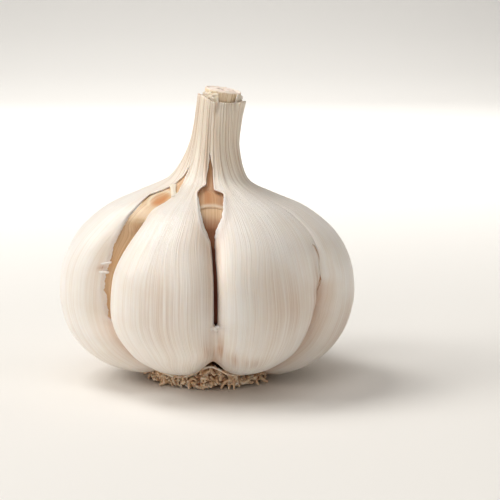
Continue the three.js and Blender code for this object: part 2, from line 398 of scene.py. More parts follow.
# evenly spaced places across each lobe, measured over its widest section
def makeShareTable(index, steps=400):
    first, second = creases[index], creases[(index + 1) % 6]
    start = readAt(first["bearings"], 20)
    sweep = (readAt(second["bearings"], 20) - start) % 360
    radius = lobes[index]["reach"]
    path = []
    for step in range(steps + 1):
        share = step / steps
        across, rise = lobeArc(first, second, share)
        depth = readAt((first if share < 0.5 else second)["depths"], 20)
        path.append(atBearing(sweep * across / 2, radius - depth * (1 - rise), 0))
    lengths = [0]
    for here, after in zip(path, path[1:]):
        lengths.append(lengths[-1] + (after - here).length)
    return [length / lengths[-1] for length in lengths]


shareTables = [makeShareTable(index) for index in range(6)]


def evenToShare(index, even):
    table = shareTables[index]
    place = min(max(bisect_right(table, even), 1), len(table) - 1)
    step = (even - table[place - 1]) / max(table[place] - table[place - 1], 1e-9)
    return (place - 1 + step) / (len(table) - 1)


def shareToEven(index, share):
    table = shareTables[index]
    place = min(max(share, 0), 1) * (len(table) - 1)
    low = min(int(place), len(table) - 2)
    return mix(table[low], table[low + 1], place - low)


# a point of the skin from its lobe, the even place across it from 0 to 1, and the share of the outline's
# length; relief and hollow weigh the fine lumps and the depth of the creases
def skinPoint(index, even, along, relief=1, hollow=1):
    first, second = creases[index % 6], creases[(index + 1) % 6]
    lobe = lobes[index % 6]
    even = min(max(even, 0), 1)
    share = evenToShare(index % 6, even)
    crease = first if share < 0.5 else second
    radius, height = skinOutline(along)
    inNeck = smoothStep(height, 37, 46)
    rounded, rise = lobeArc(first, second, share, height)
    if "bridge" in crease:
        bridge = readAt(crease["bridge"], height)
        blend = mix(0.06, 0.002, smoothStep(height, 12, 16))
        rise = (rise + bridge + math.hypot(rise - bridge, blend)) / 2
    across = mix(rounded, 2 * even - 1, inNeck)
    start = readAt(first["bearings"], height)
    sweep = (readAt(second["bearings"], height) - start) % 360
    twist = neck["twist"] * smoothStep(height, neck["twistFrom"], neck["twistTo"])
    bearing = start + sweep * (0.5 + across / 2) + twist
    fullness = math.sqrt(min(max((radius - skin["neckEdge"]) / (skin["reach"] - skin["neckEdge"]), 0), 1))
    crest = radius + (lobe["reach"] - skin["reach"]) * fullness
    depth = readAt(crease["depths"], height) * hollow
    valley = radius - depth * smoothStep(radius, skin["neckEdge"], skin["reach"] - 4)
    around = index + even
    lump = 0
    if relief:
        body = smoothStep(radius, 8, 22)
        lump += skin["undulation"] * body * rise * wobble(around * 2.2, along * 5, 1)
        lump += 0.4 * skin["undulation"] * body * rise * wobble(around * 6, along * 2.2, 2)
        shoulder = smoothStep(height, 33, 41) * (1 - smoothStep(height, 47, 52))
        lump += neck["folds"] * shoulder * wobble(around * 8, along * 3, 3)
        ribbing = smoothStep(height, 38, 46)
        uneven = 0.7 + 1.2 * wobble(around * 4, height * 0.04, 6)
        lump += neck["ribs"] * ribbing * uneven * math.cos(math.tau * neck["ribCount"] * even)
        lump += 0.1 * ribbing * wobble(around * 5, height * 0.03, 4)
    near = math.exp(-((1 - abs(rounded)) * sweep / 2 / skin["notchWidth"]) ** 1.75)
    creaseLift = crease.get("lift", skin["creaseLift"])
    lift = mix(lobe["lift"], creaseLift, near) * max(0, 1 - height / skin["liftEnd"])
    turned = (bearing + 180) % 360 - 180
    cut = readLine(neck["rim"], turned) - skin["outline"][-1][1]
    cut += neck["rimRagged"] * (math.cos(7 * math.radians(bearing)) + wobble(turned * 0.2, 1, 5))
    top = cut * smoothStep(height, 55, 59)
    inPanel = smoothStep(turned, neck["panel"][0] - 4, neck["panel"][0] + 10)
    inPanel *= 1 - smoothStep(turned, neck["panel"][1] - 2, neck["panel"][1])
    lump -= neck["panelIn"] * inPanel * smoothStep(height, 55, 59.3)
    sag = skin["sag"] * smoothStep(turned, *skin["sagFrom"]) * (1 - smoothStep(turned, *skin["sagTo"]))
    sag *= smoothStep(height, 28, 37) * (1 - smoothStep(height, 43, 48))
    return atBearing(bearing, mix(valley, crest, rise) + lump, height + lift + top - sag), rise, height


def pointAt(around, along, relief=1, hollow=1):  # the same from a place counted in lobes round the bulb
    index = math.floor(around)
    return skinPoint(index % 6, around - index, along, relief, hollow)[0]


def outwardAt(around, along, hollow=1):
    side = 0.01
    east = pointAt(around + side, along, 0, hollow) - pointAt(around - side, along, 0, hollow)
    up = pointAt(around, min(along + side, 1), 0, hollow) - pointAt(around, max(along - side, 0), 0, hollow)
    normal = east.cross(up)
    return normal.normalized() if normal.length > 1e-6 else pointAt(around, along, 0).normalized()


# where a tear's edge runs, as a place counted in lobes round the bulb
def tearEdge(crease, side, height):
    if crease not in tears:
        return crease
    gape = readLine(tears[crease][side], height)
    whole = readLine(tears[crease]["before"], height) + readLine(tears[crease]["after"], height)
    seed = crease * 3 + len(side)
    ragged = 0.004 * wobble(height * 0.9, 0, seed) + 0.003 * wobble(height * 3.1, 0, seed + 1)
    gape += ragged * min(max(whole, 0) * 8, 1)
    towards = -1 if side == "before" else 1
    lobe = (crease - 1 if gape * towards < 0 else crease) % 6
    share = abs(gape)
    if gape * towards < 0:
        return crease - 1 + shareToEven(lobe, 1 - share)
    return crease + shareToEven(lobe, share)


# sums the stains and the painted shade patches
def stainAndShadeAt(around, height):
    total = 0
    for place, level, wide, tall, strength in stainsAndShades:
        away = ((around - place) / wide) ** 2 + ((height - level) / tall) ** 2
        if away < 9:
            total += strength * math.exp(-away)
    return total


skinMarks = ("rim", "creaseShade", "neckness", "nearTear", "stainAndShade", "foot", "aged")


def marksWith(**given):  # marks for the small pieces, 0 where nothing is given
    return {mark: given.get(mark, 0) for mark in skinMarks}


def skinMarksAt(around, along, rise, height, gap):
    index = math.floor(around)
    crease = creases[(index + (1 if around - index > 0.5 else 0)) % 6]
    radius = skinOutline(along)[0]
    deep = smoothStep(readAt(crease["depths"], height), 1.5, 5)
    return {
        "rim": math.exp(-(gap / 0.45) ** 2),
        "nearTear": math.exp(-(gap / 2.5) ** 2) * smoothStep(height, 17, 30),
        # painted shade on the crease walls, where the skin turns in
        "creaseShade": crease["creaseShadeStrength"] * deep * (1 - smoothStep(rise, 0.3, 0.9)) * (1 - smoothStep(height, 38, 43)),
        "neckness": smoothStep(height, 38, 48),
        "stainAndShade": stainAndShadeAt(around % 6, height),
        "foot": (1 - smoothStep(radius, 12, 19)) * (1 - smoothStep(height, 4, 7)),
        "aged": 0,
    }


def makeLobeSkin(index):
    first, second = index, index + 1

    def shapeAt(u, v):
        height = skinOutline(v)[1]
        left = tearEdge(first, "after", height)
        right = index + 1 + tearEdge(second % 6, "before", height) - second % 6
        around = mix(left, right, u)
        lobe = math.floor(around)
        place, rise, height = skinPoint(lobe % 6, around - lobe, v)
        openLeft = left - index - (tearEdge(first, "before", height) - index) if first in tears else 0
        openRight = tearEdge(second % 6, "after", height) - tearEdge(second % 6, "before", height)
        gapLeft = (around - left) * skin["lobeWidth"] if openLeft > 0.004 else 9
        gapRight = (right - around) * skin["lobeWidth"] if openRight > 0.004 else 9
        gap = min(gapLeft, gapRight)
        curl = 0.14 * math.exp(-(gap / 0.8) ** 2) * (0.7 + wobble(height * 0.7, u, 8))
        if curl > 0.005 and 31 < height < 42:  # the edges of the tears curl out
            place = place + outwardAt(around, v) * curl
        return place, (around, v), skinMarksAt(around, v, rise, height, gap)

    lobe = lobes[index]
    return wrapGrid("skin_" + lobe["name"], lobe["columns"], skin["rows"], shapeAt, skinMarks)


# a second paper layer that shows along an edge of the skin: the edge that it follows, or its own free
# edge as (height, place round the bulb in lobes), how far it passes that edge, how far back it reaches,
# and how proud its hidden and its free side stand
looseEdges = {
    "leftTorn": {"follows": (1, "before"), "from": 14.6, "to": 40, "past": 0.006, "ragged": 0.007,
                 "reach": -0.07, "hidden": -0.36, "free": -0.12, "rows": 100},
    "frontLeftTorn": {"follows": (2, "before"), "from": 31.5, "to": 40.9, "past": 0.016, "ragged": 0.005,
                      "reach": -0.06, "hidden": -0.34, "free": -0.12, "rows": 50},
    "frontRightTorn": {"follows": (2, "after"), "from": 32.5, "to": 40.6, "past": -0.008, "ragged": 0.005,
                       "reach": 0.06, "hidden": -0.34, "free": -0.12, "rows": 50},
    # the right seam's edge mark paints its shadow line dark along the free edge
    "rightSeam": {"edge": [(20.5, 3.02), (21.5, 3.04), (23, 3.04), (26.8, 2.975), (30.1, 2.925),
                           (31.5, 2.9)],
                  "ragged": 0.002, "reach": -0.07, "hidden": -0.14, "free": 0.2, "rows": 40,
                  "mark": "stainAndShade"},
}


def makeLooseEdge(name):
    form = looseEdges[name]
    if "follows" in form:
        low, high = form["from"], form["to"]
    else:
        low, high = form["edge"][0][0], form["edge"][-1][0]

    def shapeAt(u, v):
        height = mix(low, high, v)
        seed = len(name)
        ragged = form["ragged"] * (wobble(height * 0.8, 3, seed) + 0.7 * wobble(height * 2.9, 5, seed))
        ends = smoothStep(min(v, 1 - v), 0, 0.08)
        if "follows" in form:
            free = tearEdge(*form["follows"], height) + (form["past"] + ragged) * ends
        else:
            free = readAt(form["edge"], height) + ragged
        around = free + form["reach"] * (1 - u)
        along = alongAt(height)
        proud = mix(form["hidden"], form["free"], u ** 1.5)
        proud = mix(form["hidden"] - 0.2, proud, ends)
        place = pointAt(around, along) + outwardAt(around, along) * proud
        back = (1 - u) * abs(form["reach"]) * skin["lobeWidth"]
        edge = {form.get("mark", "rim"): math.exp(-(back / 0.5) ** 2)}
        return place, (around, along), marksWith(nearTear=0.4, **edge)

    return wrapGrid("loose_" + name, 6, form["rows"], shapeAt, skinMarks)


# the torn upper edge of the web between the two front lobes, by place round the bulb and height
flap = {"from": 1.865, "to": 2.145, "low": 15.2, "high": 16.65, "base": 16, "proud": 0.2}
# a strand across the left opening, with the heights where it leaves each edge of the tear
strand = {"start": 41.9, "end": 40.1, "width": 0.42, "bulge": 0.12}
# two small folds, each with the place and height of its ends
folds = {0: ((0.79, 26.4), (0.858, 26.8)), 1: ((0.795, 25.0), (0.863, 24.75)), "width": 0.4}


def makeFlap():
    def shapeAt(u, v):
        around = mix(flap["from"], flap["to"], u)
        middle = 1 - abs(2 * u - 1) ** 3
        top = flap["high"] + 0.35 * (u - 0.5) + 0.1 * wobble(u * 7, 1, 51)
        height = mix(flap["low"], top, v)
        along = alongAt(min(height, flap["base"]))
        proud = mix(-0.05, mix(0.07, flap["proud"], middle), v ** 1.4)
        place = pointAt(around, along) + outwardAt(around, along) * proud
        place.z += max(height - flap["base"], 0)
        return place, (around, along), marksWith(rim=0.5 * smoothStep(v, 0.3, 0.9), nearTear=0.5)

    return wrapGrid("flap", 16, 8, shapeAt, skinMarks)


def makeFold(number):  # a small tongue of torn paper lying across the edge of the left opening
    start, end = folds[number]

    def shapeAt(u, v):
        across = (2 * v - 1) * folds["width"] * math.sin(math.pi * mix(0.1, 0.8, u ** 1.6))
        around, height = mix(start[0], end[0], u), mix(start[1], end[1], u) + across
        along = alongAt(height)
        proud = mix(-0.25, 0.2, (1 - (2 * v - 1) ** 2) * smoothStep(u, 0, 0.7))
        place = pointAt(around, along) + outwardAt(around, along) * proud
        return place, (around, along), marksWith(rim=0.6)

    return wrapGrid("fold" + str(number), 10, 8, shapeAt, skinMarks)


def makeStrand():
    ends = []
    for side, level, tuck in (("before", strand["start"], -0.01), ("after", strand["end"], 0.012)):
        place = tearEdge(1, side, level) + tuck
        ends.append(pointAt(place, alongAt(level)) - outwardAt(place, alongAt(level)) * 0.32)

    def shapeAt(u, v):
        across = mix(-1, 1, u) * strand["width"] * (1.9 - 3.2 * v + 2.8 * v * v)
        place = ends[0].lerp(ends[1], v) + Vector((across, 0.4 * across, 0.15 * across))
        proud = math.sin(math.pi * v) + 2 * (1 - abs(2 * u - 1))
        place += Vector((-0.35, -0.7, 0.4)) * strand["bulge"] * proud
        return place, (1 + 0.02 * u, 0.7 + 0.05 * v), marksWith(rim=0.2, aged=0.8)

    return wrapGrid("strand", 8, 16, shapeAt, skinMarks)


# layers inside the cut rim of the neck: how their tops fall to the right and to the front, how ragged
# they are, how far they fold out, the bearing where each starts and its sweep
rimLayers = [
    {"radius": 4.3, "foot": 52, "top": 58.9, "side": 0.85, "front": 0.6, "ragged": 0.1, "flare": 0,
     "aged": 0.4, "from": 0, "sweep": 360},
    {"radius": 4.02, "foot": 55, "top": 60.35, "side": 0.3, "front": -0.1, "ragged": 0.28, "flare": 0.16,
     "aged": 0.8, "from": -84, "sweep": 76},
    {"radius": 4.3, "foot": 56, "top": 59.7, "side": 0.3, "front": 0.1, "ragged": 0.3, "flare": 0.2,
     "aged": 0.6, "from": -68, "sweep": 60},
    {"radius": 4.35, "foot": 52, "top": 59.25, "side": 0, "front": -1.6, "ragged": 0.05, "flare": 0.06,
     "aged": 0.3, "from": 40, "sweep": 70},
]


def makeRimLayer(number):
    form = rimLayers[number]
    closed = form["sweep"] == 360

    def shapeAt(u, v):
        bearing = form["from"] + form["sweep"] * u
        turn = math.radians(bearing)
        cut = 1.6 * form["ragged"] * wobbleRound(turn, 5, 41 + number)
        cut -= form["side"] * math.sin(turn) + form["front"] * math.cos(turn)
        height = mix(form["foot"], form["top"] + cut, v)
        if not closed:
            height = mix(form["foot"], height, smoothStep(min(u, 1 - u), 0, 0.08) ** 0.5)
        fold = form["flare"] * smoothStep(v, 0.72, 1)
        bend = 0.1 * wobbleRound(turn, 6, 43 + number)
        bend += 0.5 * fold * wobble(math.sin(turn) * 9, v * 6, 45 + number)
        marks = marksWith(neckness=0.5, aged=form["aged"] * smoothStep(v, 0.3, 0.8))
        return atBearing(bearing, form["radius"] + bend + fold, height), (u * 6, 0.9 + 0.1 * v), marks

    return wrapGrid("rimLayer" + str(number), 72 if closed else 32, 14, shapeAt, skinMarks)


lobeSkins = joinPieces([makeLobeSkin(index) for index in range(6)], "paperSkin")
weld(lobeSkins, 0.001, border=True)
faceOut(lobeSkins)
neckLayers = [makeRimLayer(number) for number in range(len(rimLayers))]
for layer in neckLayers:  # the ends of each layer run down to a point
    weld(layer)
    faceOut(layer)
paperPieces = [lobeSkins] + neckLayers + [makeLooseEdge(name) for name in looseEdges]
paperPieces += [makeFlap(), makeStrand()] + [makeFold(number) for number in (0, 1)]
paperSkin = joinPieces(paperPieces, "paperSkin")
thicken(paperSkin, skin["thickness"])
print("papery skin:", len(paperSkin.data.polygons), "faces")


# shaders
def newMaterial(name):
    material = bpy.data.materials.new(name)
    material.use_nodes = True
    tree = material.node_tree
    shader = next(node for node in tree.nodes if node.type == "BSDF_PRINCIPLED")
    return material, tree, shader


def addNode(tree, kind, **values):
    node = tree.nodes.new(kind)
    for name, value in values.items():
        if name in node.inputs:
            node.inputs[name].default_value = value
        else:
            setattr(node, name, value)
    return node


def blendColours(tree, factor, first, second):
    node = tree.nodes.new("ShaderNodeMix")
    node.data_type = "RGBA"
    for socket, value in ((node.inputs[0], factor), (node.inputs[6], first), (node.inputs[7], second)):
        if isinstance(value, bpy.types.NodeSocket):
            tree.links.new(value, socket)
        else:
            socket.default_value = value
    return node.outputs[2]


def calculate(tree, operation, *values):
    node = addNode(tree, "ShaderNodeMath", operation=operation)
    for socket, value in zip(node.inputs, values):
        if isinstance(value, bpy.types.NodeSocket):
            tree.links.new(value, socket)
        else:
            socket.default_value = value
    return node.outputs[0]


def times(tree, first, second):
    return calculate(tree, "MULTIPLY", first, second)


def layOver(tree, base, tint, *masks):  # a colour over the base, as strong as its masks multiplied
    masks = [attribute(tree, mask) if isinstance(mask, str) else mask for mask in masks]
    strength = masks[0]
    for mask in masks[1:]:
        strength = times(tree, strength, mask)
    return blendColours(tree, strength, base, tint)


def ownMap(tree):
    return addNode(tree, "ShaderNodeUVMap", uv_map="UVMap").outputs[0]


def ownPlace(tree):
    return addNode(tree, "ShaderNodeTexCoord").outputs["Object"]


def colour(red, green, blue):  # from the 0-255 values of a colour picker
    def linear(value):
        value /= 255
        return value / 12.92 if value <= 0.04045 else ((value + 0.055) / 1.055) ** 2.4
    return (linear(red), linear(green), linear(blue), 1)


def stretchedNoise(tree, coordinates, scale, detail=3, roughness=0.55, low=0.35, high=0.65, distortion=0):
    mapping = addNode(tree, "ShaderNodeMapping", Scale=scale)
    tree.links.new(coordinates, mapping.inputs["Vector"])
    texture = addNode(tree, "ShaderNodeTexNoise", Scale=1.0, Detail=detail, Roughness=roughness,
                      Distortion=distortion)
    tree.links.new(mapping.outputs[0], texture.inputs["Vector"])
    ramp = addNode(tree, "ShaderNodeMapRange", **{"From Min": low, "From Max": high})
    tree.links.new(texture.outputs[0], ramp.inputs["Value"])
    return ramp.outputs[0]


def wrinkleLines(tree, coordinates, scale, thin):  # long lines where a stretched noise crosses its middle
    lines = stretchedNoise(tree, coordinates, scale, 2, 0.5, 0, 1)
    away = calculate(tree, "ABSOLUTE", calculate(tree, "SUBTRACT", lines, 0.5))
    line = calculate(tree, "MULTIPLY_ADD", away, -thin, 1)
    return calculate(tree, "MAXIMUM", line, 0)


def attribute(tree, name):
    return addNode(tree, "ShaderNodeAttribute", attribute_name=name).outputs["Fac"]


def addBump(tree, shader, height, strength, distance, below=None):
    bump = addNode(tree, "ShaderNodeBump", Strength=strength, Distance=distance * mm)
    tree.links.new(height, bump.inputs["Height"])
    if below:
        tree.links.new(below, bump.inputs["Normal"])
    tree.links.new(bump.outputs[0], shader.inputs["Normal"])
    return bump.outputs[0]


def softenUnder(shader, weight, radius, scale):  # light that passes under the surface
    shader.inputs["Subsurface Weight"].default_value = weight
    shader.inputs["Subsurface Radius"].default_value = radius
    shader.inputs["Subsurface Scale"].default_value = scale * mm


def finishShader(tree, shader, base, roughness, weight, radius, scale):
    tree.links.new(base, shader.inputs["Base Color"])
    shader.inputs["Roughness"].default_value = roughness
    softenUnder(shader, weight, radius, scale)


paper = {
    "cream": colour(245, 233, 221),
    "white": colour(252, 245, 238),
    "fibre": colour(216, 188, 160),
    "blush": colour(230, 204, 180),
    "creaseShade": colour(214, 168, 136),
    # brown of the neck's furrow lines, partly painted furrow shade
    "furrowLineAndShade": colour(180, 130, 90),
    "neck": colour(248, 233, 212),
    "stainAndShade": colour(180, 128, 84),
    "foot": colour(206, 160, 118),
    "aged": colour(246, 228, 198),
    "roughness": 0.36,
}


def makePaper():
    material, tree, shader = newMaterial("garlicPaper")
    uv = ownMap(tree)
    place = ownPlace(tree)
    neckness = attribute(tree, "neckness")
    body = calculate(tree, "SUBTRACT", 1, neckness)
    veins = stretchedNoise(tree, uv, (88, 1.6, 1), 2, 0.6, 0.45, 0.72)
    fineVeins = stretchedNoise(tree, uv, (210, 4, 1), 2, 0.6, 0.4, 0.72)
    streaks = stretchedNoise(tree, uv, (13, 2.4, 1), 3, 0.55, 0.4, 0.72)
    patches = stretchedNoise(tree, place, (60, 60, 80), 3, 0.6, 0.35, 0.7)
    base = blendColours(tree, patches, paper["cream"], paper["white"])
    base = layOver(tree, base, paper["blush"], streaks, 0.16)
    base = layOver(tree, base, paper["fibre"], veins, body, 0.26)
    base = layOver(tree, base, paper["fibre"], fineVeins, body, 0.14)
    wrinkles = wrinkleLines(tree, uv, (15, 0.9, 1), 34)
    fineWrinkles = wrinkleLines(tree, uv, (34, 1.7, 1), 22)
    wrinkled = times(tree, calculate(tree, "MAXIMUM", wrinkles, fineWrinkles), body)
    base = layOver(tree, base, paper["white"], wrinkled, 0.4)
    base = layOver(tree, base, paper["blush"], "nearTear", 0.3)
    # painted shade, pinkish tan, on the walls of the creases
    base = layOver(tree, base, paper["creaseShade"], "creaseShade", 0.85)
    # the neck is warmer, with brown furrow lines of uneven width and strength, coloured partly as the lines'
    # own brown and partly as painted shade in the furrows
    neckTone = stretchedNoise(tree, uv, (5, 4, 1), 3, 0.6, 0.3, 0.7)
    base = layOver(tree, base, paper["neck"], neckness, 0.7)
    base = layOver(tree, base, paper["blush"], neckTone, neckness, 0.45)
    broad = stretchedNoise(tree, uv, (11, 1.4, 1), 3, 0.65, 0.5, 0.72)
    narrow = stretchedNoise(tree, uv, (34, 2.0, 1), 2, 0.55, 0.52, 0.68)
    furrowLineAndShade = calculate(tree, "ADD", times(tree, broad, 0.45), times(tree, narrow, 0.75))
    furrowLineAndShade = times(tree, furrowLineAndShade, neckness)
    base = layOver(tree, base, paper["furrowLineAndShade"], furrowLineAndShade, 0.95)
    streaky = stretchedNoise(tree, uv, (60, 2, 1), 2, 0.6, 0.35, 0.65)
    streaky = calculate(tree, "MULTIPLY_ADD", streaky, 1.1, 0.4)
    # stain colour: real stains, painted shade patches on the front lobes and creases, and the painted shadow
    # line of the right seam
    base = layOver(tree, base, paper["stainAndShade"], "stainAndShade", streaky)
    base = layOver(tree, base, paper["foot"], "foot", 0.6)
    base = layOver(tree, base, paper["aged"], "aged", 0.8)
    base = layOver(tree, base, paper["white"], "rim", 0.75)
    finishShader(tree, shader, base, paper["roughness"], 0.16, (1.0, 0.55, 0.32), 1.4)
    shader.inputs["Sheen Weight"].default_value = 0.08
    pucker = stretchedNoise(tree, place, (380, 380, 380), 3, 0.55, 0.3, 0.7)
    normal = addBump(tree, shader, pucker, 0.2, 0.1)
    normal = addBump(tree, shader, veins, 0.35, 0.05, normal)
    normal = addBump(tree, shader, fineVeins, 0.3, 0.03, normal)
    normal = addBump(tree, shader, wrinkled, 0.4, 0.07, normal)
    addBump(tree, shader, times(tree, furrowLineAndShade, -1), 0.5, 0.1, normal)
    return material


finishPiece(paperSkin, makePaper(), "tunic", "tunic")


# the cloves, each under its own lobe
cloveForm = {"inset": 1.1, "foot": 5, "from": 0.17, "tip": 0.752, "columns": 44, "rows": 56, "inner": 8.8}


def makeClove(index):
    def shapeAt(u, v):
        along = mix(cloveForm["from"], cloveForm["tip"], v)
        height = skinOutline(along)[1]
        margin = mix(0.05, 0.36, smoothStep(height, 30, 42))
        wrap = u * 1.6 - 0.3  # past each end of the back the grid runs in over a cheek
        even = shareToEven(index, mix(margin, 1 - margin, min(max(wrap, 0), 1)))
        outward = outwardAt(index + even, along)
        place = pointAt(index + even, along, 0) - outward * cloveForm["inset"]
        place += outward * 0.15 * wobble(even * 3 + index, along * 4, 11)
        middle = pointAt(index + 0.5, along, 0)
        keel = Vector((middle.x, middle.y, 0)).normalized() * cloveForm["inner"]
        inwards = max(-wrap, wrap - 1, 0) / 0.3
        flat = Vector((place.x, place.y, 0)).lerp(keel, inwards)
        rounding = 0.6 * math.sin(math.pi * min(inwards, 1))
        level = mix(place.z, middle.z, inwards) + rounding  # both cheeks meet at one height on the keel
        return Vector((flat.x, flat.y, max(level, cloveForm["foot"]))), (index + even, along), {}

    name = "clove" + lobes[index]["name"].capitalize()
    piece = wrapGrid(name, cloveForm["columns"], cloveForm["rows"], shapeAt)
    weld(piece)
    closeHoles(piece)
    faceOut(piece)
    shadeSmooth(piece)
    return piece


cloveLook = {
    "base": colour(230, 192, 148),
    "deep": colour(186, 134, 90),
    "pale": colour(242, 224, 200),
    "amber": colour(202, 132, 76),
    # dark brown, laid on mostly as painted shade
    "darkAndShade": colour(108, 52, 30),
    "roughness": 0.4,
}


def makeCloveSkin():
    material, tree, shader = newMaterial("cloveSkin")
    uv = ownMap(tree)
    place = ownPlace(tree)
    fibres = stretchedNoise(tree, uv, (62, 2, 1), 3, 0.6, 0.38, 0.66)
    clouds = stretchedNoise(tree, place, (150, 150, 100), 3, 0.6, 0.35, 0.7)
    base = layOver(tree, cloveLook["base"], cloveLook["pale"], clouds, 0.5)
    base = layOver(tree, base, cloveLook["deep"], fibres, 0.6)
    base = layOver(tree, base, cloveLook["amber"], "amber")
    base = layOver(tree, base, cloveLook["pale"], "pale")
    # dark mark: painted shade deep in the front opening, in the slit and under the lip, with some of the
    # skins' own dark hatching
    base = layOver(tree, base, cloveLook["darkAndShade"], "darkAndShade")
    tree.links.new(base, shader.inputs["Base Color"])
    dull = calculate(tree, "MULTIPLY_ADD", attribute(tree, "darkAndShade"), 0.5, cloveLook["roughness"])
    tree.links.new(dull, shader.inputs["Roughness"])
    softenUnder(shader, 0.2, (1.0, 0.5, 0.25), 1.6)
    addBump(tree, shader, fibres, 0.35, 0.05)
    return material


cloveSkin = makeCloveSkin()
cloveNodes = ["clove_left", "clove_front_left", "clove_front_right", "clove_right",
              "clove_back_right", "clove_back_left"]
for index, node in enumerate(cloveNodes):
    finishPiece(makeClove(index), cloveSkin, "clove_skin", node)
print("cloves:", len(cloveNodes))


# the inner skins that show through the two tears: how deep they lie below the skin's edges, by height
underForm = {
    "left": {"from": 12.5, "to": 47.4, "margin": 0.055, "inset": 0.35, "columns": 56, "rows": 170,
             "pull": [(34, 0.7), (38, 1.15), (39.6, 1.15), (41.2, 0.5), (47, 0.3)]},
    "front": {"from": 15.4, "to": 48, "margin": 0.05, "inset": 0.42, "columns": 56, "rows": 190,
              "hollow": [(15, 1.7), (26, 2.1), (29, 2.6), (31, 2.8), (33, 2.7), (35, 2.0), (37, 1.45),
                         (38, 1.3), (38.25, 0.75),
                         (38.55, 0.5), (38.85, 0.75), (40.8, 0.75), (41.6, 0.15), (48, 0)]},
    "thickness": 0.25,
    "pocket": {"x": -9.8, "z": 39.3, "long": 2.0, "tall": 0.85, "tilt": 24},
}


def pocketAt(place):  # how far a point lies from the middle of the orange pocket, 1 at its edge
    form = underForm["pocket"]
    turn = math.radians(form["tilt"])
    x, z = place.x - form["x"], place.z - form["z"]
    along, up = x * math.cos(turn) + z * math.sin(turn), z * math.cos(turn) - x * math.sin(turn)
    return math.hypot(along / form["long"], up / form["tall"]), up


def underPoint(inset):  # gives points that lie this far under the skin
    def inside(around, height):
        along = alongAt(height)
        return pointAt(around, along, 0) - outwardAt(around, along) * inset

    return inside


def makeLeftUnder():
    form = underForm["left"]
    inside = underPoint(form["inset"])

    def shapeAt(u, v):  # it leaves each lobe along that lobe's own surface and spans the crease between
        height = mix(form["from"], form["to"], v)
        left = tearEdge(1, "before", height) - form["margin"]
        right = tearEdge(1, "after", height) + form["margin"]
        right = mix(1.02, right, smoothStep(height, 29, 38))
        start, end = inside(left, height), inside(right, height)
        pull = (end - start).length * readAt(form["pull"], height)
        leave = (start - inside(left - 0.012, height)).normalized() * pull
        arrive = (inside(right + 0.012, height) - end).normalized() * pull
        span = start * (1 + 2 * u) * (1 - u) ** 2 + leave * u * (1 - u) ** 2
        span += end * u * u * (3 - 2 * u) + arrive * u * u * (u - 1)
        around = mix(left, right, u)
        place = inside(around, height).lerp(span, smoothStep(height, 27, 34))
        along = alongAt(height)
        away, up = pocketAt(place)
        place += outwardAt(mix(left, right, 0.5), along, 0.3) * 0.1 * wobble(around * 9, height * 0.35, 12)
        amber = math.exp(-away ** 4) * mix(1, 0.6, smoothStep(up, -0.3, 0.6))
        amber += 0.3 * smoothStep(height, 40.8, 42)
        # a pale ring on the upper side of the pocket's rim: a painted highlight
        pale = 0.8 * math.exp(-((away - 1.25) / 0.14) ** 2) * smoothStep(up, -0.5, 0.2)
        marks = {"amber": min(amber, 1), "pale": pale, "darkAndShade": 0.25 * smoothStep(u, 0.75, 1)}
        return place, (1 + 0.5 * u, height / 60), marks

    return wrapGrid("leftUnderSkin", form["columns"], form["rows"], shapeAt, ("amber", "pale", "darkAndShade"))


def makeFrontUnder():
    form = underForm["front"]
    inside = underPoint(form["inset"])

    def shapeAt(u, v):
        height = mix(form["from"], form["to"], v)
        left = tearEdge(2, "before", height) - form["margin"]
        right = tearEdge(2, "after", height) + form["margin"]
        lip = height - 0.5 + 3.6 * (u - 0.48) ** 2 - 0.1 * wobble(u * 3, 2, 14)
        dent = readAt(form["hollow"], lip) * (1 - abs(2 * u - 1) ** 6)
        place = inside(left, height).lerp(inside(right, height), u)
        place.y += dent + 0.06 * wobble(u * 24, height * 0.06, 13)
        # below the lip the inner skin is painted darker and more orange further down as painted shade in the
        # recess, and below height 31 it is painted dark as shade in the slit
        deep = smoothStep(lip, 38.2, 33) if lip < 38.2 else 0
        darkAndShade = max(1.0 * smoothStep(31 - height, -2.5, 0.5), 0.1 + 0.58 * smoothStep(37.8 - lip, 0, 4))
        # a thin painted shadow line under the lip
        darkAndShade = max(darkAndShade, 0.7 * math.exp(-((lip - 38.13) / 0.1) ** 2) * mix(0.4, 1, u))
        pale = 0.75 * math.exp(-((lip - 38.55) / 0.24) ** 2)
        above = smoothStep(lip, 38.2, 38.5)
        amber = 0.45 * math.exp(-((u - 0.42) / 0.1) ** 2) * (1 - pale) * above + 0.35 * above + 0.8 * deep
        # the dark hatch on the right above the lip is the skin's own colour
        darkAndShade += 0.25 * above * smoothStep(u, 0.62, 0.8) * (1 - pale) + 0.12 * above
        return place, (2 + u * 0.5, height / 60), {"amber": amber, "pale": pale, "darkAndShade": min(darkAndShade, 1)}

    return wrapGrid("frontUnderSkin", form["columns"], form["rows"], shapeAt, ("amber", "pale", "darkAndShade"))


underSkin = joinPieces([makeLeftUnder(), makeFrontUnder()], "underSkin")
faceOut(underSkin)
thicken(underSkin, underForm["thickness"])
finishPiece(underSkin, cloveSkin, "clove_skin")
print("under skin done")


# the inner skins round the stalk
sheathForm = {
    "outline": [(5.2, 9), (6.3, 24), (7.1, 32), (7.35, 36.6), (7.45, 37.0), (8.3, 37.15), (8.5, 37.5),
                (8.35, 38.2),
                (8.05, 40), (7.3, 42), (5.8, 44.2), (5.1, 46)],
    "columns": 200,
    "rows": 90,
    "thickness": 0.6,
}


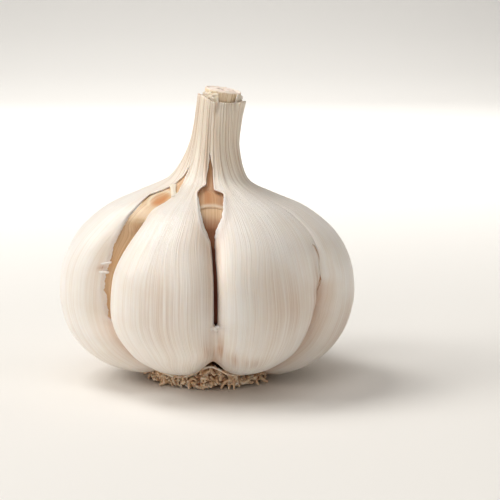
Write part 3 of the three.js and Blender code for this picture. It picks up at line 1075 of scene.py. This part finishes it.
def makeSheath():
    read = makeOutline(sheathForm["outline"])

    def shapeAt(u, v):
        radius, height = read(v)
        turn = math.tau * u
        lipTilt = 0.3 * math.sin(turn + 1) + 0.3 * wobbleRound(turn, 3, 21)
        height += lipTilt * math.exp(-((height - 37.6) / 2.2) ** 2)
        pleat = 0.1 * wobbleRound(turn, 14, 22) + 0.1 * math.cos(turn * 26)
        swell = 0.2 * math.exp(-((height - 38.9) / 0.35) ** 2)
        radius += (pleat + swell) * smoothStep(height, 30, 38)
        return atBearing(u * 360, radius, height), (u * 6, height / 60), {}

    piece = wrapGrid("innerSheath", sheathForm["columns"], sheathForm["rows"], shapeAt)
    weld(piece)
    return piece


innerSheath = makeSheath()
thicken(innerSheath, sheathForm["thickness"])

sheathLook = {"base": colour(214, 168, 124), "deep": colour(156, 104, 62), "pale": colour(236, 202, 164)}


def makeSheathSkin():
    material, tree, shader = newMaterial("innerSkin")
    uv = ownMap(tree)
    fibres = stretchedNoise(tree, uv, (26, 3, 1), 3, 0.6, 0.4, 0.66)
    fine = stretchedNoise(tree, uv, (80, 6, 1), 2, 0.6, 0.4, 0.7)
    base = layOver(tree, sheathLook["base"], sheathLook["deep"], fibres, 0.8)
    base = layOver(tree, base, sheathLook["pale"], fine, 0.4)
    finishShader(tree, shader, base, 0.5, 0.15, (1.0, 0.5, 0.25), 1.2)
    normal = addBump(tree, shader, fibres, 0.6, 0.1)
    addBump(tree, shader, fine, 0.4, 0.05, normal)
    return material


finishPiece(innerSheath, makeSheathSkin(), "inner_skin", "inner_sheath")
print("inner sheath done")


# the stalk
stalkForm = {
    "foot": 4.4, "radius": 3.65, "top": 61.15, "topRadius": 3.85,
    "slopeX": -0.165, "slopeY": 0.08, "pit": 1.0,  # the slant of its cut and the depth of the pit in it
}


def makeStalk():
    form = stalkForm

    def shapeAt(u, v):
        bearing = u * 360
        onTop = max(v - 0.6, 0) / 0.4
        edge = smoothStep(onTop, 0, 0.3)
        radius = mix(form["radius"], form["topRadius"], edge)
        if onTop > 0.3:
            radius = form["topRadius"] * (1 - (onTop - 0.3) / 0.7)
        flat = atBearing(bearing, radius, 0)
        cut = form["top"] + form["slopeX"] * flat.x + form["slopeY"] * flat.y
        if onTop < 0.3:
            height = mix(form["foot"], 58, v / 0.6) if v < 0.6 else mix(58, cut - 0.12, onTop / 0.3)
        else:
            height = cut + 0.16 * wobble(flat.x * 1.1, flat.y * 1.1, 31)
            height += 0.08 * wobble(flat.x * 3, flat.y * 3, 33)
            height -= 0.22 * smoothStep(radius, 2.0, 2.9) * (1 - smoothStep(radius, 3.2, 3.7))
            pit = math.hypot((flat.x + 0.45) / 1.15, (flat.y + 0.4) / 1.3)
            height -= form["pit"] * (1 - smoothStep(pit, 0.35, 1.0))
            height -= 0.12 * smoothStep(radius, 3.6, 3.85)
        ribs = 0.08 * wobbleRound(math.tau * u, 12, 32) * smoothStep(radius, 3, 3.6)
        away = math.hypot((flat.x + 0.45) / 1.0, (flat.y + 0.4) / 1.15)
        # the pit mark lays painted shade in the hole of the cut
        marks = {"onCut": smoothStep(onTop, 0.26, 0.32), "pit": 1 - smoothStep(away, 0.5, 1.1)}
        return atBearing(bearing, radius + ribs, height), (u * 6, v), marks

    piece = wrapGrid("neckStalk", 96, 110, shapeAt, ("onCut", "pit"))
    weld(piece, 0.02)
    closeHoles(piece)
    shadeSmooth(piece)
    return piece


stalkLook = {
    "cut": colour(244, 228, 216),
    "ring": colour(214, 192, 160),
    "side": colour(246, 228, 200),
    "sideDeep": colour(202, 168, 128),
    "pit": colour(84, 58, 44),
}


def makeStalkLook():
    material, tree, shader = newMaterial("cutStalk")
    uv = ownMap(tree)
    place = ownPlace(tree)
    fibres = stretchedNoise(tree, uv, (26, 4, 1), 3, 0.6, 0.42, 0.66)
    side = blendColours(tree, fibres, stalkLook["side"], stalkLook["sideDeep"])
    grain = stretchedNoise(tree, place, (900, 900, 900), 3, 0.6, 0.45, 0.75)
    top = layOver(tree, stalkLook["cut"], stalkLook["ring"], grain, 0.45)
    # painted shade in the pit
    top = layOver(tree, top, stalkLook["pit"], "pit", 0.95)
    base = blendColours(tree, attribute(tree, "onCut"), side, top)
    finishShader(tree, shader, base, 0.65, 0.12, (1.0, 0.6, 0.35), 1.2)
    addBump(tree, shader, grain, 0.4, 0.06)
    return material


stalk = makeStalk()
finishPiece(stalk, makeStalkLook(), "stalk", "stalk")
print("stalk done")


# the root plate and its tuft of roots
rootForm = {
    "count": 460, "shapes": 18, "seed": 11, "thickness": 0.33, "reach": 14.9,
    "inner": 9.8, "outer": 13.4,  # where the roots start
    "ceiling": [(-180, 2.4), (-110, 2.4), (-76, 4.1), (-50, 3.8), (-14, 3.8), (2, 5.2), (18, 3.8),
                (48, 3.5), (72, 3), (110, 2.2), (180, 2.4)],
    "arch": [(-62, 13.7, 3.3), (-44, 14, 2.8), (-22, 14, 2.3), (-9, 13.8, 4.0), (1, 13.6, 5.2),
             (10, 13.8, 4.4),
             (20, 14, 2.7),
             (34, 13.8, 3.0)],  # bearing, radius and height along the long strand under the lobes
    "core": [(0, 0), (8, 0), (10.6, 0.03), (11.6, 0.25), (12.2, 0.55), (11.4, 0.8), (9, 0.95), (0, 1)],
}


def rootCeiling(x, y):
    return readAt(rootForm["ceiling"], math.degrees(math.atan2(x, -y)))


def makeCore():  # the lumpy mass of felted roots, its heights are shares of the ceiling
    steps = len(rootForm["core"]) - 1
    radii, shares = ([(index / steps, point[which]) for index, point in enumerate(rootForm["core"])]
                     for which in (0, 1))

    def shapeAt(u, v):
        radius, share = readLine(radii, v), readLine(shares, v)
        flat = atBearing(u * 360, radius, 0)
        lumps = 0.9 * smoothStep(share, 0.02, 0.2) * wobble(flat.x * 0.9, flat.y * 0.9 + 3 * share, 61)
        flat = atBearing(u * 360, max(radius + lumps * smoothStep(radius, 3, 8), 0), 0)
        height = share * (rootCeiling(flat.x, flat.y) - 0.3) + 0.2 * lumps * share
        return Vector((flat.x, flat.y, max(height, 0))), (u * 6, v), {"tone": -0.7}

    core = wrapGrid("rootCore", 120, 36, shapeAt, ("tone",))
    weld(core, 0.02)
    closeHoles(core)
    return core


def makeTube(points, thickness, smoothness, order=5):  # along points, each a place in metres and a width
    clearSelection()
    bpy.ops.curve.primitive_nurbs_path_add(location=(0, 0, 0))
    path = bpy.context.object
    spline = path.data.splines[0]
    if len(points) > len(spline.points):
        spline.points.add(len(points) - len(spline.points))
    for point, (place, width) in zip(spline.points, points):
        point.co = (*place, 1)
        point.radius = width
    spline.order_u = order
    path.data.bevel_depth = thickness * mm
    path.data.bevel_resolution = 1
    path.data.resolution_u = smoothness
    path.data.use_fill_caps = True
    bpy.ops.object.convert(target="MESH")
    return bpy.context.object


def makeRootShape(kind, maker):  # one curled root round the origin
    curl = maker.uniform(0.55, 1.4)
    sweep = math.radians(maker.uniform(140, 290)) * maker.choice((-1, 1))
    rise = maker.uniform(-0.9, 0.9)
    stretch = maker.uniform(1.0, 1.6)
    points = []
    for index, width in enumerate((0.75, 1.0, 1.1, 1.0, 0.6)):
        share = index / 4 - 0.5
        turn = sweep * share
        place = Vector((curl * stretch * math.sin(turn), curl * (1 - math.cos(turn)), rise * share))
        place += Vector([maker.uniform(-0.25, 0.25) for axis in range(3)])
        points.append((place * mm, width))
    shape = makeTube(points, rootForm["thickness"], 2)
    shape.name = "rootShape" + str(kind)
    return shape


def placeRoot(shape, number, maker):
    root = shape.copy()
    root.data = shape.data.copy()
    bpy.context.collection.objects.link(root)
    bearing = number * 360 * 0.618 + maker.uniform(-6, 6)
    if number % 3 == 0:  # the front, where the tuft is thickest
        bearing = maker.uniform(-78, 66)
    radius = mix(rootForm["inner"], rootForm["outer"], maker.random() ** 0.6)
    middle = atBearing(bearing, radius, 0)
    ceiling = rootCeiling(middle.x, middle.y)
    middle.z = mix(0.4, ceiling - 0.3, maker.random())
    turn = Matrix.Rotation(math.radians(bearing - 90 + maker.uniform(-80, 80)), 4, "Z")
    turn = turn @ Matrix.Rotation(math.radians(maker.uniform(-25, 50)), 4, "Y")
    turn = turn @ Matrix.Rotation(maker.uniform(-2.2, 2.2), 4, "X")
    size = maker.uniform(0.8, 1.25)
    root.data.transform(Matrix.Translation(middle * mm) @ turn @ Matrix.Scale(size, 4))
    low = min(vertex.co.z for vertex in root.data.vertices)
    high = max(vertex.co.z for vertex in root.data.vertices)
    reach = max(math.hypot(vertex.co.x, vertex.co.y) for vertex in root.data.vertices) / mm
    inwards = middle.normalized() * max(reach - rootForm["reach"], 0)
    inwards.z = 0
    floorGap = 0.03 * mm
    squash = min(1, (ceiling * mm - floorGap) / (high - low))
    shift = max(floorGap - low, 0) or min(ceiling * mm - high, 0)
    for vertex in root.data.vertices:
        vertex.co.z = max((vertex.co.z + shift - floorGap) * squash + floorGap, floorGap)
        vertex.co += bulbAxis - inwards * mm
    tone = maker.choice((-0.9, -0.5, 0.1, 0.6, 1)) + maker.uniform(-0.2, 0.2)
    centre = sum((vertex.co for vertex in root.data.vertices), Vector()) / len(root.data.vertices)
    away = [(vertex.co - centre).length for vertex in root.data.vertices]
    tones = [mix(tone, 1, 0.8 * (step / max(away)) ** 3) for step in away]
    root.data.attributes.new("tone", "FLOAT", "POINT").data.foreach_set("value", tones)
    return root


def makeArch():
    points = [(atBearing(*place) * mm + bulbAxis, 1) for place in rootForm["arch"]]
    arch = makeTube(points, 0.8 * rootForm["thickness"], 6, order=3)
    tones = arch.data.attributes.new("tone", "FLOAT", "POINT")
    tones.data.foreach_set("value", [1.0] * len(arch.data.vertices))
    return arch


def makeRoots():
    maker = random.Random(rootForm["seed"])
    shapes = [makeRootShape(kind, maker) for kind in range(rootForm["shapes"])]
    placed = [placeRoot(maker.choice(shapes), number, maker) for number in range(rootForm["count"])]
    for shape in shapes:
        bpy.data.objects.remove(shape)
    return joinPieces(placed, "rootTuft")


rootTuft = joinPieces([makeCore(), makeRoots(), makeArch()], "rootTuft")
shadeSmooth(rootTuft)

rootLook = {"base": colour(255, 220, 180), "deep": colour(164, 98, 64), "pale": colour(255, 252, 238)}


def makeRootLook():
    material, tree, shader = newMaterial("dryRoots")
    place = ownPlace(tree)
    tone = attribute(tree, "tone")
    clumps = stretchedNoise(tree, place, (700, 700, 700), 2, 0.6, 0.35, 0.65)
    grain = stretchedNoise(tree, place, (1800, 1800, 1800), 2, 0.6, 0.45, 0.75)
    lightRoots = calculate(tree, "MAXIMUM", tone, 0)
    base = layOver(tree, rootLook["base"], rootLook["pale"], lightRoots, clumps)
    darkRoots = calculate(tree, "MAXIMUM", times(tree, tone, -1), 0)
    base = layOver(tree, base, rootLook["deep"], darkRoots)
    base = layOver(tree, base, rootLook["deep"], grain, 0.35)
    finishShader(tree, shader, base, 0.5, 0.1, (1.0, 0.5, 0.25), 0.8)
    addBump(tree, shader, grain, 0.5, 0.06)
    return material


finishPiece(rootTuft, makeRootLook(), "roots", "root_plate")
print("roots:", rootForm["count"])


# floor, lights and camera
stageLook = {
    "floor": colour(236, 233, 228),
    "size": 6,
    "sweepStart": 0.8,
    "lightDistance": 1.3,
    "lightSize": 0.6,
    "lights": [  # bearing from the front, elevation, watts, tint
        ("keyLight", -110, 60, 8.5, (1, 0.985, 0.96)),
        ("leftLight", -80, 35, 7.3, (1, 0.99, 0.97)),
        ("topLight", 0, 80, 3.1, (1, 0.985, 0.96)),
        ("frontLight", -20, 35, 1.7, (1, 0.975, 0.945)),
        ("lowLight", -20, 9, 2.1, (1, 0.97, 0.93)),
        ("rightLight", 100, 12, 2.5, (1, 0.94, 0.87)),
        ("backLight", 150, 60, 0.5, (1, 0.97, 0.93)),
        ("fillLight", 60, 60, 1.7, (1, 0.97, 0.94)),
    ],
    "backdropLight": {"place": (0, 0.5, 0.65), "aim": (0, 1.15, 0.15), "watts": 6},
}


def makeFloor():  # one sheet that curves up far behind the bulb
    clearSelection()
    middle = (0, stageLook["sweepStart"] - stageLook["size"] / 2, 0)
    bpy.ops.mesh.primitive_plane_add(size=stageLook["size"], location=middle)
    floor = bpy.context.object
    floor.name = "floor"
    bpy.ops.object.transform_apply(location=True, rotation=True, scale=True)
    bpy.ops.object.mode_set(mode="EDIT")
    bpy.ops.mesh.select_mode(type="EDGE")
    bpy.ops.mesh.select_all(action="DESELECT")
    bpy.ops.object.mode_set(mode="OBJECT")
    for edge in floor.data.edges:
        ends = [floor.data.vertices[corner].co.y for corner in edge.vertices]
        edge.select = min(ends) > stageLook["sweepStart"] - 0.01
    bpy.ops.object.mode_set(mode="EDIT")
    for step in range(14):
        turn = math.radians(step * 90 / 13)
        bpy.ops.mesh.extrude_region_move(
            TRANSFORM_OT_translate={"value": (0, 0.16 * math.cos(turn), 0.16 * math.sin(turn))})
    bpy.ops.mesh.extrude_region_move(TRANSFORM_OT_translate={"value": (0, 0, 2)})
    bpy.ops.object.mode_set(mode="OBJECT")
    bpy.ops.object.shade_smooth()
    material, tree, shader = newMaterial("floorPaint")
    shader.inputs["Base Color"].default_value = stageLook["floor"]
    shader.inputs["Roughness"].default_value = 0.9
    floor.data.materials.append(material)
    floor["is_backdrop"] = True


def addAreaLight(name, place, aim, watts, tint=(1, 1, 1)):
    bpy.ops.object.light_add(type="AREA", location=place)
    lamp = bpy.context.object
    lamp.name = name
    lamp.data.size = stageLook["lightSize"]
    lamp.data.energy = watts
    lamp.data.color = tint
    lamp.rotation_euler = (Vector(aim) - Vector(place)).to_track_quat("-Z", "Y").to_euler()


def lightRound(name, bearing, elevation, watts, tint):
    lift = math.radians(elevation)
    aim = Vector((0, 0, 0.03))
    distance = stageLook["lightDistance"]
    place = aim + atBearing(bearing, distance * math.cos(lift), distance * math.sin(lift))
    addAreaLight(name, place, aim, watts, tint)


makeFloor()
for light in stageLook["lights"]:
    lightRound(*light)
addAreaLight("backdropLight", *stageLook["backdropLight"].values())
world = bpy.data.worlds.new("studio")
bpy.context.scene.world = world
world.use_nodes = True
background = world.node_tree.nodes["Background"]
background.inputs["Color"].default_value = (1, 0.99, 0.97, 1)
background.inputs["Strength"].default_value = 0.02

cameraForm = {
    "elevation": 9.6, "distance": 295, "lens": 100, "shift": 0.084,
    "lookHeight": 27.19, "lookBack": -0.645,
}


def makeCamera():
    bpy.ops.object.camera_add()
    camera = bpy.context.object
    camera.data.lens = cameraForm["lens"]
    camera.data.sensor_width = 36
    camera.data.shift_x = cameraForm["shift"]
    lift = math.radians(cameraForm["elevation"])
    target = bulbAxis + Vector((0, cameraForm["lookBack"], cameraForm["lookHeight"])) * mm
    camera.location = target + Vector((0, -math.cos(lift), math.sin(lift))) * cameraForm["distance"] * mm
    camera.rotation_euler = (math.radians(90) - lift, 0, 0)
    bpy.context.scene.camera = camera


makeCamera()
bpy.context.scene.view_settings.view_transform = "Standard"
print("stage, lights and camera ready")

corners = lambda box: [list(corner) for corner in box]
{"cad": corners(cadBox), "visual": corners(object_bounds())}
